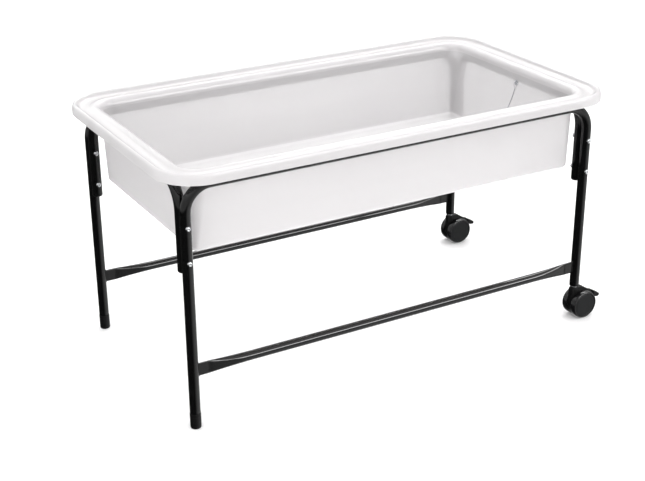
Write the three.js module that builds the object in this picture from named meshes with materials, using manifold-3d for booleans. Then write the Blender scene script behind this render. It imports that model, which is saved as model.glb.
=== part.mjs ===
// Sand and water table: a moulded tray that drops into a bolted stand of bent steel tube,
// with two plain feet at one end and two braked twin-wheel casters at the other.
// Millimetres, +Z up, the long side along X. The origin is on the floor, under the middle
// of the whole table.
import * as THREE from 'three';
import { mergeVertices } from 'three/addons/utils/BufferGeometryUtils.js';
import Module from 'manifold-3d';

const wasm = await Module();
wasm.setup();

// ---- Driving dimensions -------------------------------------------------------------

const GAP = 0.3;

// Stand tube and the places of its axes
const TUBE_R = 12.5;
const TUBE_BORE_R = 11.3;
const TUBE_SIDES = 16;
const BORE_SIDES = 10;
const BEND_R = 62.5;
const BEND_TURNS = 5;
const LEG_X = 547.5;
const LEG_Y = 284.5;
const RAIL_Z = 587.5;
const FOOT_LEG_Z = 39;
const CASTER_LEG_Z = 94.5;
const CROSS_LEG_Z = 386;
const CROSS_Y = LEG_Y - 2 * TUBE_R - GAP;

// Stretchers
const STRETCHER_R = 11;
const STRETCHER_BORE_R = 9.8;
const STRETCHER_Z = 146;
const TAPER_END = 150;
const VENT_R = 2.5;
// How round the pressed end is: [distance from the leg's axis, radius of the section's edges]
const PRESSED = [
  [0, 1.9], [38, 1.9], [46, 3.3], [56, 5.2], [70, 6.9], [90, 8.4], [118, 9.9],
  [TAPER_END, STRETCHER_R - 0.01],
];

// Corner bolts
const BOLT_Z = { lower: 413.5, upper: 495.5 };
const BOLT_R = 3;
const BOLT_HOLE_R = 3.3;
const BOLT_HEAD_R = 5.4;
const BOLT_HEAD_H = 3.4;
const BOLT_SOCKET_R = 2.31;
const NUT_AF = 10;
const NUT_H = 6;

// Casters, measured from the swivel axis at floor level
const WHEEL_R = 37.5;
const TRAIL = 22;
const WHEEL_SIDES = 28;
const WHEEL_IN = 9;
const WHEEL_OUT = 25.8;
const AXLE_R = 4;
const AXLE_HALF = 20.7;
const STEM_R = 5.5;
const STEM_SEAT_Z = 67.7;
const SOCKET_FLANGE = 2.6;
const HOUSING_HALF = 8.6;
const HOUSING_TOP = 86.9;
const PIN_R = 1.5;
const BRAKE_PIVOT = [44, 60];
const BRAKE_TIP_X = 84.5;

// Tray: offsets are measured outwards from the rectangle of the leg axes
const TRAY_WALL = 3;
const WALL_TOP = { offset: -13.4, z: 592 };
const WALL_FOOT = { offset: -26.5, z: 430 };
const FLOOR_Z = 416;
const FLOOR_FILLET = 14;
const CORNER_R = 60;
const CORNER_GROWTH = 0.78;
const CORNER_TURNS = 5;
const FOOT_CORNER_R = 16;
const SKIRT_Z = 602;
const LIP_Z = 626;
const RIM_OUT = 50;
const RIB_WIDTH = 3;
const RIB_X = [-400, -200, 0, 200, 400];
const RIB_Y = [-140, 0, 140];

// Drain and its plug
const DRAIN = [470, 0];
const DRAIN_SIDES = 20;
const DRAIN_HOLE_R = 16;
const DRAIN_BORE_R = 12;
const DRAIN_END_Z = 394;
const PLUG_TOP_Z = FLOOR_Z + TRAY_WALL + 21;
const CORD_R = 1;
const RING_Y = -20;
const EYE_Z = 578;
const RING_R = 5.5;
const RING_WIRE_R = 0.7;
const RIVET_R = 1.9;
const RIVET_HOLE_R = 2.4;

const ORIGIN_X = (LEG_X + BRAKE_TIP_X - (LEG_X + RIM_OUT)) / 2;

// ---- Materials ----------------------------------------------------------------------

function finish(color, roughness, metalness) {
  return new THREE.MeshStandardMaterial({ color, roughness, metalness });
}

const paint = finish(0x1b1b1c, 0.42, 0.2);
const zinc = finish(0xc9cacb, 0.28, 1);
const blackPlastic = finish(0x17181a, 0.5, 0);
const wheelPlastic = finish(0x26282a, 0.4, 0);
const milkyPlastic = finish(0xeeeeed, 0.35, 0);
const greyRubber = finish(0x6d6f70, 0.7, 0);
const greyCord = finish(0x707478, 0.6, 0);

// ---- Geometry helpers ---------------------------------------------------------------

function circle(radius, sides) {
  const points = [];
  for (let i = 0; i < sides; i += 1) {
    const angle = (2 * Math.PI * i) / sides;
    points.push(new THREE.Vector2(radius * Math.cos(angle), radius * Math.sin(angle)));
  }
  return points;
}

// The radius that clears the flats of a faceted bore by the gap.
function insideBore(radius, sides) {
  return radius * Math.cos(Math.PI / sides) - GAP;
}

function toSolid(geometry) {
  const bare = geometry.clone();
  bare.deleteAttribute('normal');
  bare.deleteAttribute('uv');
  const merged = mergeVertices(bare, 1e-4);
  const mesh = new wasm.Mesh({
    numProp: 3,
    vertProperties: new Float32Array(merged.attributes.position.array),
    triVerts: new Uint32Array(merged.index.array),
  });
  return new wasm.Manifold(mesh);
}

function toGeometry(solid) {
  const mesh = solid.getMesh();
  const geometry = new THREE.BufferGeometry();
  geometry.setAttribute('position', new THREE.BufferAttribute(mesh.vertProperties, 3));
  geometry.setIndex(new THREE.BufferAttribute(mesh.triVerts, 1));
  geometry.computeVertexNormals();
  return geometry;
}

// A body of revolution about Z. Profile points are [radius, z]; the profile runs upwards on
// the outside, and either starts and ends on the axis or closes on itself.
function revolve(profile, sides) {
  const points = profile.map(([r, z]) => new THREE.Vector2(r, z));
  return new THREE.LatheGeometry(points, sides).rotateX(Math.PI / 2);
}

// The same body turned so that its axis lies along +Y.
function revolveAlongY(profile, sides) {
  return revolve(profile, sides).rotateX(-Math.PI / 2);
}

// A plate whose outline is drawn in X and Z, with its thickness centred on Y = 0.
function plateXZ(outline, thickness) {
  const shape = new THREE.Shape(outline.map(([x, z]) => new THREE.Vector2(x, z)));
  const plate = new THREE.ExtrudeGeometry(shape, { depth: thickness, bevelEnabled: false, steps: 1 });
  return plate.translate(0, 0, -thickness / 2).rotateX(Math.PI / 2);
}

// A closed skin through rings of equal point counts, capped at both ends.
function loft(rings) {
  const count = rings[0].length;
  const positions = rings.flat(2);
  const index = [];
  for (let i = 0; i + 1 < rings.length; i += 1) {
    for (let j = 0; j < count; j += 1) {
      const a = i * count + j;
      const b = i * count + ((j + 1) % count);
      index.push(a, b, b + count, a, b + count, a + count);
    }
  }
  const last = (rings.length - 1) * count;
  for (let j = 1; j + 1 < count; j += 1) {
    index.push(0, j + 1, j);
    index.push(last, last + j, last + j + 1);
  }
  const geometry = new THREE.BufferGeometry();
  geometry.setAttribute('position', new THREE.Float32BufferAttribute(positions, 3));
  geometry.setIndex(index);
  return geometry;
}

function rodAlongY(radius, sides, x, yFrom, yTo, z) {
  const rod = new THREE.CylinderGeometry(radius, radius, yTo - yFrom, sides);
  return rod.translate(x, (yFrom + yTo) / 2, z);
}

function node(name, geometry, material) {
  const mesh = new THREE.Mesh(geometry, material);
  mesh.name = name;
  return mesh;
}

// ---- Stand --------------------------------------------------------------------------

// The axis of a hoop: up one leg, round a bend, along the rail, round the other bend and
// down the other leg, with stations only where the tube turns.
class HoopAxis extends THREE.Curve {
  constructor(half, lowLeft, lowRight) {
    super();
    this.stations = [{ x: -half, z: lowLeft, angle: Math.PI / 2 }];
    for (const side of [-1, 1]) {
      for (let i = 0; i <= BEND_TURNS; i += 1) {
        const sweep = (Math.PI / 2) * (i / BEND_TURNS);
        const angle = side < 0 ? Math.PI / 2 - sweep : -sweep;
        this.stations.push({
          x: side * (half - BEND_R) - BEND_R * Math.sin(angle),
          z: RAIL_Z - BEND_R + BEND_R * Math.cos(angle),
          angle,
        });
      }
    }
    this.stations.push({ x: half, z: lowRight, angle: -Math.PI / 2 });
  }

  station(u) {
    return this.stations[Math.round(u * (this.stations.length - 1))];
  }

  getPointAt(u) {
    const { x, z } = this.station(u);
    return new THREE.Vector3(x, 0, z);
  }

  getTangentAt(u) {
    const { angle } = this.station(u);
    return new THREE.Vector3(Math.cos(angle), 0, Math.sin(angle));
  }
}

function hoopTube(half, lowLeft, lowRight) {
  const section = new THREE.Shape(circle(TUBE_R, TUBE_SIDES));
  section.holes.push(new THREE.Path(circle(TUBE_BORE_R, BORE_SIDES)));
  const axis = new HoopAxis(half, lowLeft, lowRight);
  const steps = axis.stations.length - 1;
  return new THREE.ExtrudeGeometry(section, { steps, extrudePath: axis, bevelEnabled: false });
}

// Both bolt holes of both uprights of a hoop. The bolts run along Y in the finished stand.
function boltHoles(uprights) {
  const holes = [];
  for (const [x, y] of uprights) {
    for (const z of Object.values(BOLT_Z)) {
      holes.push(toSolid(rodAlongY(BOLT_HOLE_R, 8, x, y - 2 * TUBE_R, y + 2 * TUBE_R, z)));
    }
  }
  return wasm.Manifold.union(holes);
}

function longFrame(name, y) {
  const tube = hoopTube(LEG_X, FOOT_LEG_Z, CASTER_LEG_Z).translate(0, y, 0);
  const holes = boltHoles([[-LEG_X, y], [LEG_X, y]]);
  return node(name, toGeometry(toSolid(tube).subtract(holes)), paint);
}

function crossTube(name, x) {
  const tube = hoopTube(CROSS_Y, CROSS_LEG_Z, CROSS_LEG_Z).rotateZ(Math.PI / 2).translate(x, 0, 0);
  const holes = boltHoles([[x, -CROSS_Y], [x, CROSS_Y]]);
  return node(name, toGeometry(toSolid(tube).subtract(holes)), paint);
}

// The tube's section after pressing it flatter: two half circles of radius rho joined by
// flats, with the girth of the round tube.
function pressedSection(x, rho) {
  const flat = (Math.PI * (STRETCHER_R - rho)) / 2;
  const ring = [];
  for (const side of [1, -1]) {
    for (let i = 0; i <= 6; i += 1) {
      const angle = (Math.PI * i) / 6;
      ring.push([x, side * rho * Math.cos(angle), side * (flat + rho * Math.sin(angle))]);
    }
  }
  return ring;
}

function stretcher(name, y) {
  const left = PRESSED.map(([reach, rho]) => pressedSection(reach - LEG_X, rho));
  const right = PRESSED.map(([reach, rho]) => pressedSection(LEG_X - reach, rho)).reverse();
  const skin = toSolid(loft([...left, ...right]));

  const boreHalf = LEG_X - TAPER_END - 10;
  const bore = new THREE.CylinderGeometry(STRETCHER_BORE_R, STRETCHER_BORE_R, 2 * boreHalf, 12);
  const cuts = [toSolid(bore.rotateZ(Math.PI / 2))];
  const ventH = STRETCHER_R + 4;
  const copeR = TUBE_R + 2 * GAP;
  const reachZ = 60;
  for (const side of [-1, 1]) {
    const vent = new THREE.CylinderGeometry(VENT_R, VENT_R, ventH, 8).rotateX(Math.PI / 2);
    cuts.push(toSolid(vent.translate(side * (boreHalf - 12), 0, -ventH / 2)));
    const leg = new THREE.CylinderGeometry(copeR, copeR, reachZ, 24).rotateX(Math.PI / 2);
    cuts.push(toSolid(leg.translate(side * LEG_X, 0, 0)));
    const beyond = new THREE.BoxGeometry(20, reachZ, reachZ);
    cuts.push(toSolid(beyond.translate(side * (LEG_X + 10), 0, 0)));
  }
  const body = skin.subtract(wasm.Manifold.union(cuts));
  return node(name, toGeometry(body).translate(0, y, STRETCHER_Z), paint);
}

// Plastic tip that plugs into the lower end of a plain leg.
function footTip(name, x, y) {
  const tipR = 13;
  const spigotR = insideBore(TUBE_BORE_R, BORE_SIDES);
  const spigotTop = FOOT_LEG_Z + 22;
  const profile = [
    [0, 0], [tipR - 2.6, 0], [tipR - 0.8, 0.8], [tipR, 2.6], [tipR, FOOT_LEG_Z - GAP],
    [spigotR, FOOT_LEG_Z - GAP], [spigotR, spigotTop], [0, spigotTop],
  ];
  return node(name, revolve(profile, 16).translate(x, y, 0), blackPlastic);
}

// Domed plastic plug in the open lower end of a cross tube.
function tubeCap(name, x, y) {
  const spigotR = insideBore(TUBE_BORE_R, BORE_SIDES);
  const spigotH = 14;
  const profile = [
    [0, -6], [7.5, -6], [11, -4.4], [12.4, -1.8], [12.4, -GAP],
    [spigotR, -GAP], [spigotR, spigotH], [0, spigotH],
  ];
  return node(name, revolve(profile, 14).translate(x, y, CROSS_LEG_Z), blackPlastic);
}

// Button-head screw along Y with its head on the -Y side, and the nut on its far end. The
// face of the head lies at y.
function cornerBolt(name, x, y, z) {
  const grip = 4 * TUBE_R + 3 * GAP;
  const shankEnd = grip + NUT_H + 1.5;
  const profile = [
    [0, -BOLT_HEAD_H], [3.6, -BOLT_HEAD_H], [4.9, -2.1], [BOLT_HEAD_R, -0.5], [BOLT_HEAD_R, 0],
    [BOLT_R, 0], [BOLT_R, shankEnd], [0, shankEnd],
  ];
  const socket = new THREE.CylinderGeometry(BOLT_SOCKET_R, BOLT_SOCKET_R, 4.2, 6);
  socket.translate(0, -BOLT_HEAD_H, 0);
  const body = toSolid(revolveAlongY(profile, 12)).subtract(toSolid(socket));
  return node(name, toGeometry(body).translate(x, y - GAP, z), zinc);
}

function cornerNut(name, x, y, z) {
  const hexR = NUT_AF / Math.sqrt(3);
  const hex = new THREE.Shape(circle(hexR, 6));
  hex.holes.push(new THREE.Path(circle(BOLT_HOLE_R, 8)));
  const block = new THREE.ExtrudeGeometry(hex, { depth: NUT_H, bevelEnabled: false, steps: 1 });
  const seat = y + 4 * TUBE_R + 2 * GAP;
  return node(name, block.rotateX(-Math.PI / 2).translate(x, seat, z), zinc);
}

function makeStand() {
  const stand = new THREE.Group();
  stand.add(longFrame('front_frame', -LEG_Y));
  stand.add(longFrame('rear_frame', LEG_Y));
  stand.add(crossTube('left_cross_tube', -LEG_X));
  stand.add(crossTube('right_cross_tube', LEG_X));
  stand.add(stretcher('front_stretcher', -LEG_Y));
  stand.add(stretcher('rear_stretcher', LEG_Y));
  for (const [depth, side] of [['front', -1], ['rear', 1]]) {
    stand.add(footTip(`${depth}_foot_tip`, -LEG_X, side * LEG_Y));
    // The clamped pair of tubes starts at the leg's outer face in front, and at the cross
    // tube's inner face behind.
    const pairFace = side < 0 ? -LEG_Y - TUBE_R : CROSS_Y - TUBE_R;
    for (const [end, x] of [['left', -LEG_X], ['right', LEG_X]]) {
      stand.add(tubeCap(`${depth}_${end}_tube_cap`, x, side * CROSS_Y));
      for (const [level, z] of Object.entries(BOLT_Z)) {
        stand.add(cornerBolt(`${depth}_${end}_${level}_bolt`, x, pairFace, z));
        stand.add(cornerNut(`${depth}_${end}_${level}_nut`, x, pairFace, z));
      }
    }
  }
  return stand;
}

// ---- Casters ------------------------------------------------------------------------

function stemSocket() {
  const sleeveR = insideBore(TUBE_BORE_R, BORE_SIDES);
  const boreR = STEM_R + GAP;
  const flangeR = 12.2;
  const flangeTop = CASTER_LEG_Z - GAP;
  const flangeFoot = flangeTop - SOCKET_FLANGE;
  const sleeveTop = CASTER_LEG_Z + 46;
  const profile = [
    [boreR, flangeFoot], [flangeR, flangeFoot], [flangeR, flangeTop], [sleeveR, flangeTop],
    [sleeveR, sleeveTop], [boreR, sleeveTop], [boreR, flangeFoot],
  ];
  return revolve(profile, 14);
}

function casterStem() {
  const stemFoot = STEM_SEAT_Z + GAP;
  const stemTop = 132;
  const collarR = 8.6;
  const collarTop = CASTER_LEG_Z - SOCKET_FLANGE - 2 * GAP;
  const collarFoot = HOUSING_TOP + GAP;
  const profile = [
    [0, stemFoot], [STEM_R, stemFoot], [STEM_R, collarFoot], [collarR, collarFoot],
    [collarR, collarTop], [STEM_R, collarTop], [STEM_R, stemTop], [0, stemTop],
  ];
  return revolve(profile, 14);
}

// The block between the two wheels: a round column under the stem that runs into a hood
// sloping down over the wheels to the brake.
function casterHousing() {
  const outline = [
    [-10, 34], [-4, 27], [8, 19.5], [22, 16], [36, 19.5], [46, 29], [51, 44], [56, 56],
    [56, 64], [40, 74.6], [24, 85], [17, HOUSING_TOP], [-6, HOUSING_TOP], [-10, 83],
  ];
  const block = toSolid(plateXZ(outline, 2 * HOUSING_HALF));
  const columnR = 10.4;
  const columnH = 15;
  const column = new THREE.CylinderGeometry(columnR, columnR, columnH, 18).rotateX(Math.PI / 2);
  const boreR = STEM_R + GAP;
  const boreH = 30;
  const stemBore = new THREE.CylinderGeometry(boreR, boreR, boreH, 14).rotateX(Math.PI / 2);
  const slot = { x: 36, z: 50.5, size: 40, width: 9 };
  const brakeSlot = new THREE.BoxGeometry(slot.size, slot.width, slot.size);
  brakeSlot.translate(slot.x + slot.size / 2, 0, slot.z + slot.size / 2);
  const reach = HOUSING_HALF + 1;
  const cuts = [
    toSolid(stemBore.translate(0, 0, STEM_SEAT_Z + boreH / 2)),
    toSolid(rodAlongY(AXLE_R + GAP, 12, TRAIL, -reach, reach, WHEEL_R)),
    toSolid(rodAlongY(PIN_R + GAP, 8, BRAKE_PIVOT[0], -reach, reach, BRAKE_PIVOT[1])),
    toSolid(brakeSlot),
  ];
  const whole = block.add(toSolid(column.translate(0, 0, HOUSING_TOP - columnH / 2)));
  return toGeometry(whole.subtract(wasm.Manifold.union(cuts)));
}

// The lever: a hinge arm in the housing's slot and a wider wedge-shaped tongue for the foot.
function brakePedal() {
  const [px, pz] = BRAKE_PIVOT;
  const tip = BRAKE_TIP_X;
  const arm = [
    [px - 5, pz - 3], [px, pz - 5.5], [px + 15, pz - 1], [px + 15, pz + 4.2], [px, pz + 12],
    [px - 5, pz + 6],
  ];
  const tongue = [
    [px + 18.5, pz - 9.5], [px + 24, 44.8], [tip - 1.6, 44.8], [tip, 46.4], [tip, 49.4],
    [tip - 1.6, 51.2], [px + 14, pz + 5.6], [px + 14, pz + 0.4],
  ];
  const armWidth = 8.2;
  const tongueWidth = 22;
  const body = toSolid(plateXZ(arm, armWidth)).add(toSolid(plateXZ(tongue, tongueWidth)));
  const bore = toSolid(rodAlongY(PIN_R + GAP, 8, px, -armWidth, armWidth, pz));
  const corners = [];
  for (const side of [-1, 1]) {
    const corner = new THREE.BoxGeometry(10, 10, 40).rotateZ(Math.PI / 4);
    const cornerY = side * (tongueWidth / 2 + 1.2);
    corners.push(toSolid(corner.translate(tip + 1.2, cornerY, 48)));
  }
  return toGeometry(body.subtract(bore).subtract(wasm.Manifold.union(corners)));
}

function wheelTyre() {
  const profile = [
    [32.3, WHEEL_IN], [35.2, WHEEL_IN], [36.9, 10], [WHEEL_R, 12], [WHEEL_R, 22], [36.8, 24.4],
    [35, WHEEL_OUT], [33, WHEEL_OUT], [32.3, 25.2], [32.3, WHEEL_IN],
  ];
  return revolveAlongY(profile, WHEEL_SIDES);
}

// The hub closes the wheel's outer face and has a blind bore for the axle.
function wheelHub() {
  const boreR = AXLE_R + GAP;
  const profile = [
    [0, AXLE_HALF + GAP], [boreR, AXLE_HALF + GAP], [boreR, 9.2], [9, 9.2], [9, 12.5], [27, 12.5],
    [28, 9.6], [31.8, 9.6], [31.8, 24.6], [30.4, 25.4], [28.6, 25], [0, 25],
  ];
  return revolveAlongY(profile, WHEEL_SIDES);
}

function makeCaster(depth, y) {
  const caster = new THREE.Group();
  caster.position.set(LEG_X, y, 0);
  const name = `${depth}_caster`;
  caster.add(node(`${name}_socket`, stemSocket(), blackPlastic));
  caster.add(node(`${name}_stem`, casterStem(), zinc));
  caster.add(node(`${name}_housing`, casterHousing(), blackPlastic));
  const axle = rodAlongY(AXLE_R, 12, TRAIL, -AXLE_HALF, AXLE_HALF, WHEEL_R);
  caster.add(node(`${name}_axle`, axle, zinc));
  caster.add(node(`${name}_brake_pedal`, brakePedal(), blackPlastic));
  const [pinX, pinZ] = BRAKE_PIVOT;
  const pinHalf = HOUSING_HALF - GAP;
  const pin = rodAlongY(PIN_R, 8, pinX, -pinHalf, pinHalf, pinZ);
  caster.add(node(`${name}_brake_pin`, pin, zinc));
  for (const [side, turn] of [['outer', y < 0 ? Math.PI : 0], ['inner', y < 0 ? 0 : Math.PI]]) {
    const wheel = new THREE.Group();
    wheel.position.set(TRAIL, 0, WHEEL_R);
    wheel.rotation.z = turn;
    wheel.add(node(`${name}_${side}_tyre`, wheelTyre(), wheelPlastic));
    wheel.add(node(`${name}_${side}_hub`, wheelHub(), wheelPlastic));
    caster.add(wheel);
  }
  return caster;
}

// ---- Tray ---------------------------------------------------------------------------

// A rounded rectangle round the table at one height, offset outwards from the leg axes.
function trayRing(offset, z, radius) {
  const ring = [];
  for (const [sx, sy, start] of [[1, 1, 0], [-1, 1, 90], [-1, -1, 180], [1, -1, 270]]) {
    for (let i = 0; i <= CORNER_TURNS; i += 1) {
      const angle = THREE.MathUtils.degToRad(start + (90 * i) / CORNER_TURNS);
      const x = sx * (LEG_X + offset - radius) + radius * Math.cos(angle);
      const y = sy * (LEG_Y + offset - radius) + radius * Math.sin(angle);
      ring.push([x, y, z]);
    }
  }
  return ring;
}

// The rim's corners widen with its offset.
function rimCorner(offset) {
  return CORNER_R + CORNER_GROWTH * offset;
}

// The quarter round between floor and wall, from the floor up, with the corners' radius at
// each level.
function floorFillet(radius, floorZ, footOffset, footCorner) {
  const levels = [];
  for (let i = 0; i <= 4; i += 1) {
    const angle = (Math.PI / 2) * (i / 4);
    const offset = footOffset - radius + radius * Math.sin(angle);
    const corner = footCorner - (footOffset - offset);
    levels.push([offset, floorZ + radius - radius * Math.cos(angle), corner]);
  }
  return levels;
}

// The upper skin of the rim, from the inner wall's top over the bead, the ledge and the lip
// to the skirt's lower edge; and the lower skin back again.
const RIM_TOP = [
  [-14.6, 607.5], [-11.2, 614.6], [-6.2, 618.4], [0, 619.6], [6, 618.4], [13, 616.4], [25, 615.6],
  [33, 618], [38, 623.6], [42, LIP_Z], [45.6, 625.4], [48.2, 621.8], [RIM_OUT, SKIRT_Z],
];
const RIM_UNDER = [
  [RIM_OUT - 2.6, SKIRT_Z], [45.4, 620.6], [42, 622.6], [39.6, 620.4], [35, 615.2], [25, 612.6],
  [13, 613.2], [6, 615.2], [0, 616.4], [-5, 615.2], [-8.8, 612.4], [-11.4, 606.6],
];

function trayShell() {
  const innerFoot = WALL_FOOT.offset - TRAY_WALL;
  const under = floorFillet(FLOOR_FILLET, FLOOR_Z, WALL_FOOT.offset, FOOT_CORNER_R);
  const inside = floorFillet(
    FLOOR_FILLET - TRAY_WALL, FLOOR_Z + TRAY_WALL, innerFoot, FOOT_CORNER_R - TRAY_WALL,
  );
  const wallOutside = [[WALL_TOP.offset, WALL_TOP.z]];
  const wallInside = [[WALL_TOP.offset - TRAY_WALL, WALL_TOP.z]];
  const section = [
    ...under, ...wallOutside, ...[...RIM_UNDER].reverse(), ...[...RIM_TOP].reverse(),
    ...wallInside, ...[...inside].reverse(),
  ];
  const rings = section.map(([offset, z, corner = rimCorner(offset)]) => {
    return trayRing(offset, z, corner);
  });
  return loft(rings);
}

// One stiffening rib under the rim, drawn in offset and height. It carries the tray on the
// rail below it.
function rimRib() {
  const restZ = RAIL_Z + TUBE_R + GAP;
  const outline = [
    [-9.6, restZ], [47.6, restZ + 4], [46.4, 622], [41.6, 624.2], [36.4, 618.6], [25, 614.2],
    [13, 614.8], [0, 618], [-6, 616.8], [-10.6, 612.6], [-12.6, 606.4], [-12.6, restZ],
  ];
  return plateXZ(outline, RIB_WIDTH);
}

function traySolid() {
  const ribs = [];
  for (const side of [-1, 1]) {
    for (const x of RIB_X) {
      const rib = rimRib().rotateZ((side * Math.PI) / 2).translate(x, side * LEG_Y, 0);
      ribs.push(toSolid(rib));
    }
    for (const y of RIB_Y) {
      const rib = rimRib().rotateZ(side < 0 ? Math.PI : 0).translate(side * LEG_X, y, 0);
      ribs.push(toSolid(rib));
    }
  }
  const drainHole = new THREE.CylinderGeometry(DRAIN_HOLE_R, DRAIN_HOLE_R, 20, DRAIN_SIDES);
  drainHole.rotateX(Math.PI / 2).translate(DRAIN[0], DRAIN[1], FLOOR_Z);
  const eyeHole = new THREE.CylinderGeometry(RIVET_HOLE_R, RIVET_HOLE_R, 30, 8);
  eyeHole.rotateZ(Math.PI / 2).translate(innerWallX(EYE_Z), RING_Y, EYE_Z);
  const holes = wasm.Manifold.union([toSolid(drainHole), toSolid(eyeHole)]);
  return toSolid(trayShell()).add(wasm.Manifold.union(ribs)).subtract(holes);
}

// X of the right wall's inner face at one height.
function innerWallX(z) {
  const rise = (z - WALL_FOOT.z) / (WALL_TOP.z - WALL_FOOT.z);
  return LEG_X - TRAY_WALL + WALL_FOOT.offset + rise * (WALL_TOP.offset - WALL_FOOT.offset);
}

function drainOutlet() {
  const flangeZ = FLOOR_Z + TRAY_WALL + GAP;
  const bodyR = insideBore(DRAIN_HOLE_R, DRAIN_SIDES);
  const flangeR = 22;
  const profile = [
    [DRAIN_BORE_R, DRAIN_END_Z], [bodyR, DRAIN_END_Z], [bodyR, flangeZ], [flangeR, flangeZ],
    [flangeR, flangeZ + 1.4], [flangeR - 2, flangeZ + 2.4], [DRAIN_BORE_R + 1.2, flangeZ + 2.4],
    [DRAIN_BORE_R, flangeZ + 1], [DRAIN_BORE_R, DRAIN_END_Z],
  ];
  return revolve(profile, DRAIN_SIDES).translate(DRAIN[0], DRAIN[1], 0);
}

function drainLockNut() {
  const height = 8;
  const hexR = 23;
  const hex = new THREE.Shape(circle(hexR, 6));
  hex.holes.push(new THREE.Path(circle(DRAIN_HOLE_R + GAP, DRAIN_SIDES)));
  const ring = new THREE.ExtrudeGeometry(hex, { depth: height, bevelEnabled: false, steps: 1 });
  return ring.translate(DRAIN[0], DRAIN[1], FLOOR_Z - GAP - height);
}

function drainPlug() {
  const seatZ = FLOOR_Z + TRAY_WALL + 3;
  const footZ = FLOOR_Z - 8;
  const bungR = insideBore(DRAIN_BORE_R, DRAIN_SIDES);
  const flangeR = 15.4;
  const profile = [
    [0, footZ], [bungR - 0.9, footZ], [bungR, footZ + 4], [bungR, seatZ], [flangeR, seatZ],
    [flangeR, seatZ + 2], [13, seatZ + 3.2], [5.4, seatZ + 4.4], [4.6, seatZ + 10], [0, seatZ + 10],
  ];
  const finH = 12;
  const fin = new THREE.BoxGeometry(10, 3.4, finH).translate(0, 0, PLUG_TOP_Z - finH / 2);
  const eye = rodAlongY(2.4, 8, 0, -4, 4, PLUG_TOP_Z - 4.2);
  const body = toSolid(revolve(profile, DRAIN_SIDES)).add(toSolid(fin)).subtract(toSolid(eye));
  return toGeometry(body).translate(DRAIN[0], DRAIN[1], 0);
}

// A staple of wire on a rivet through the end wall; the plug cord's split ring hangs in it.
function cordStaple() {
  const wireR = 0.9;
  const loopR = 5;
  const plateR = 7;
  const plateT = 1.2;
  const rivetH = 6;
  const face = innerWallX(EYE_Z) - GAP - 0.8;
  const loop = new THREE.TorusGeometry(loopR, wireR, 6, 20).rotateX(Math.PI / 2);
  const plate = new THREE.CylinderGeometry(plateR, plateR, plateT, 14).rotateZ(Math.PI / 2);
  const rivet = new THREE.CylinderGeometry(RIVET_R, RIVET_R, rivetH, 8).rotateZ(Math.PI / 2);
  const behind = new THREE.BoxGeometry(10, 4, 14).translate(plateT / 2 + 5.5, 0, 0);
  const hoop = toSolid(loop).subtract(toSolid(behind));
  const body = hoop
    .add(toSolid(plate.translate(plateT / 2, 0, 0)))
    .add(toSolid(rivet.translate(plateT / 2 + rivetH / 2, 0, 0)));
  return toGeometry(body).translate(face - plateT, RING_Y, EYE_Z);
}

const RING_X = innerWallX(EYE_Z) - 5;
const RING_CENTRE_Z = EYE_Z - 1.4 - RING_R;

function splitRing() {
  const ring = new THREE.TorusGeometry(RING_R, RING_WIRE_R, 6, 18).rotateY(Math.PI / 2);
  return ring.translate(RING_X, RING_Y, RING_CENTRE_Z);
}

// The plug's cord: it hangs from the ring on the end wall to the plug's eye, with a little slack.
const CORD_ROUTE = [
  [RING_X, RING_Y, 564], [523, -19.3, 554.9], [520.8, -18.5, 545.9], [518.3, -17.6, 537.1],
  [515.6, -16.6, 528.3], [512.7, -15.5, 519.7], [509.5, -14.4, 511.2], [506.1, -13.1, 502.9],
  [502.4, -11.8, 494.6], [498.5, -10.4, 486.5], [494.4, -8.9, 478.5], [490, -7.3, 470.6],
  [485.3, -5.6, 462.9], [480.4, -3.8, 455.1], [475, -1.9, 447.8], [472, -0.8, 444.3],
  [DRAIN[0], DRAIN[1], PLUG_TOP_Z + CORD_R],
];

function plugCord() {
  const route = new THREE.CatmullRomCurve3(CORD_ROUTE.map((p) => new THREE.Vector3(...p)));
  const section = new THREE.Shape(circle(CORD_R, 8));
  return new THREE.ExtrudeGeometry(section, { steps: 28, extrudePath: route, bevelEnabled: false });
}

function makeTray() {
  const tray = new THREE.Group();
  tray.add(node('tray', toGeometry(traySolid()), milkyPlastic));
  tray.add(node('drain_outlet', drainOutlet(), milkyPlastic));
  tray.add(node('drain_lock_nut', drainLockNut(), milkyPlastic));
  tray.add(node('drain_plug', drainPlug(), greyRubber));
  tray.add(node('cord_staple', cordStaple(), zinc));
  tray.add(node('cord_ring', splitRing(), zinc));
  tray.add(node('plug_cord', plugCord(), greyCord));
  return tray;
}

// ---- Assembly -----------------------------------------------------------------------

const table = new THREE.Group();
table.position.x = -ORIGIN_X;
table.add(makeStand());
table.add(makeCaster('front', -LEG_Y));
table.add(makeCaster('rear', LEG_Y));
table.add(makeTray());

export default table;
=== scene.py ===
"""Sand and water table: a milky moulded tray dropped into a bolted stand of bent black steel
tube, with two plain feet at one end and two braked twin-wheel casters at the other.

Shapes are worked out in millimetres from a point on the floor under the middle of the four
legs, and turned into the frame's metres when a piece is made.
"""

import math

import bmesh
import bpy
from mathutils import Euler, Matrix, Vector, noise


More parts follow.
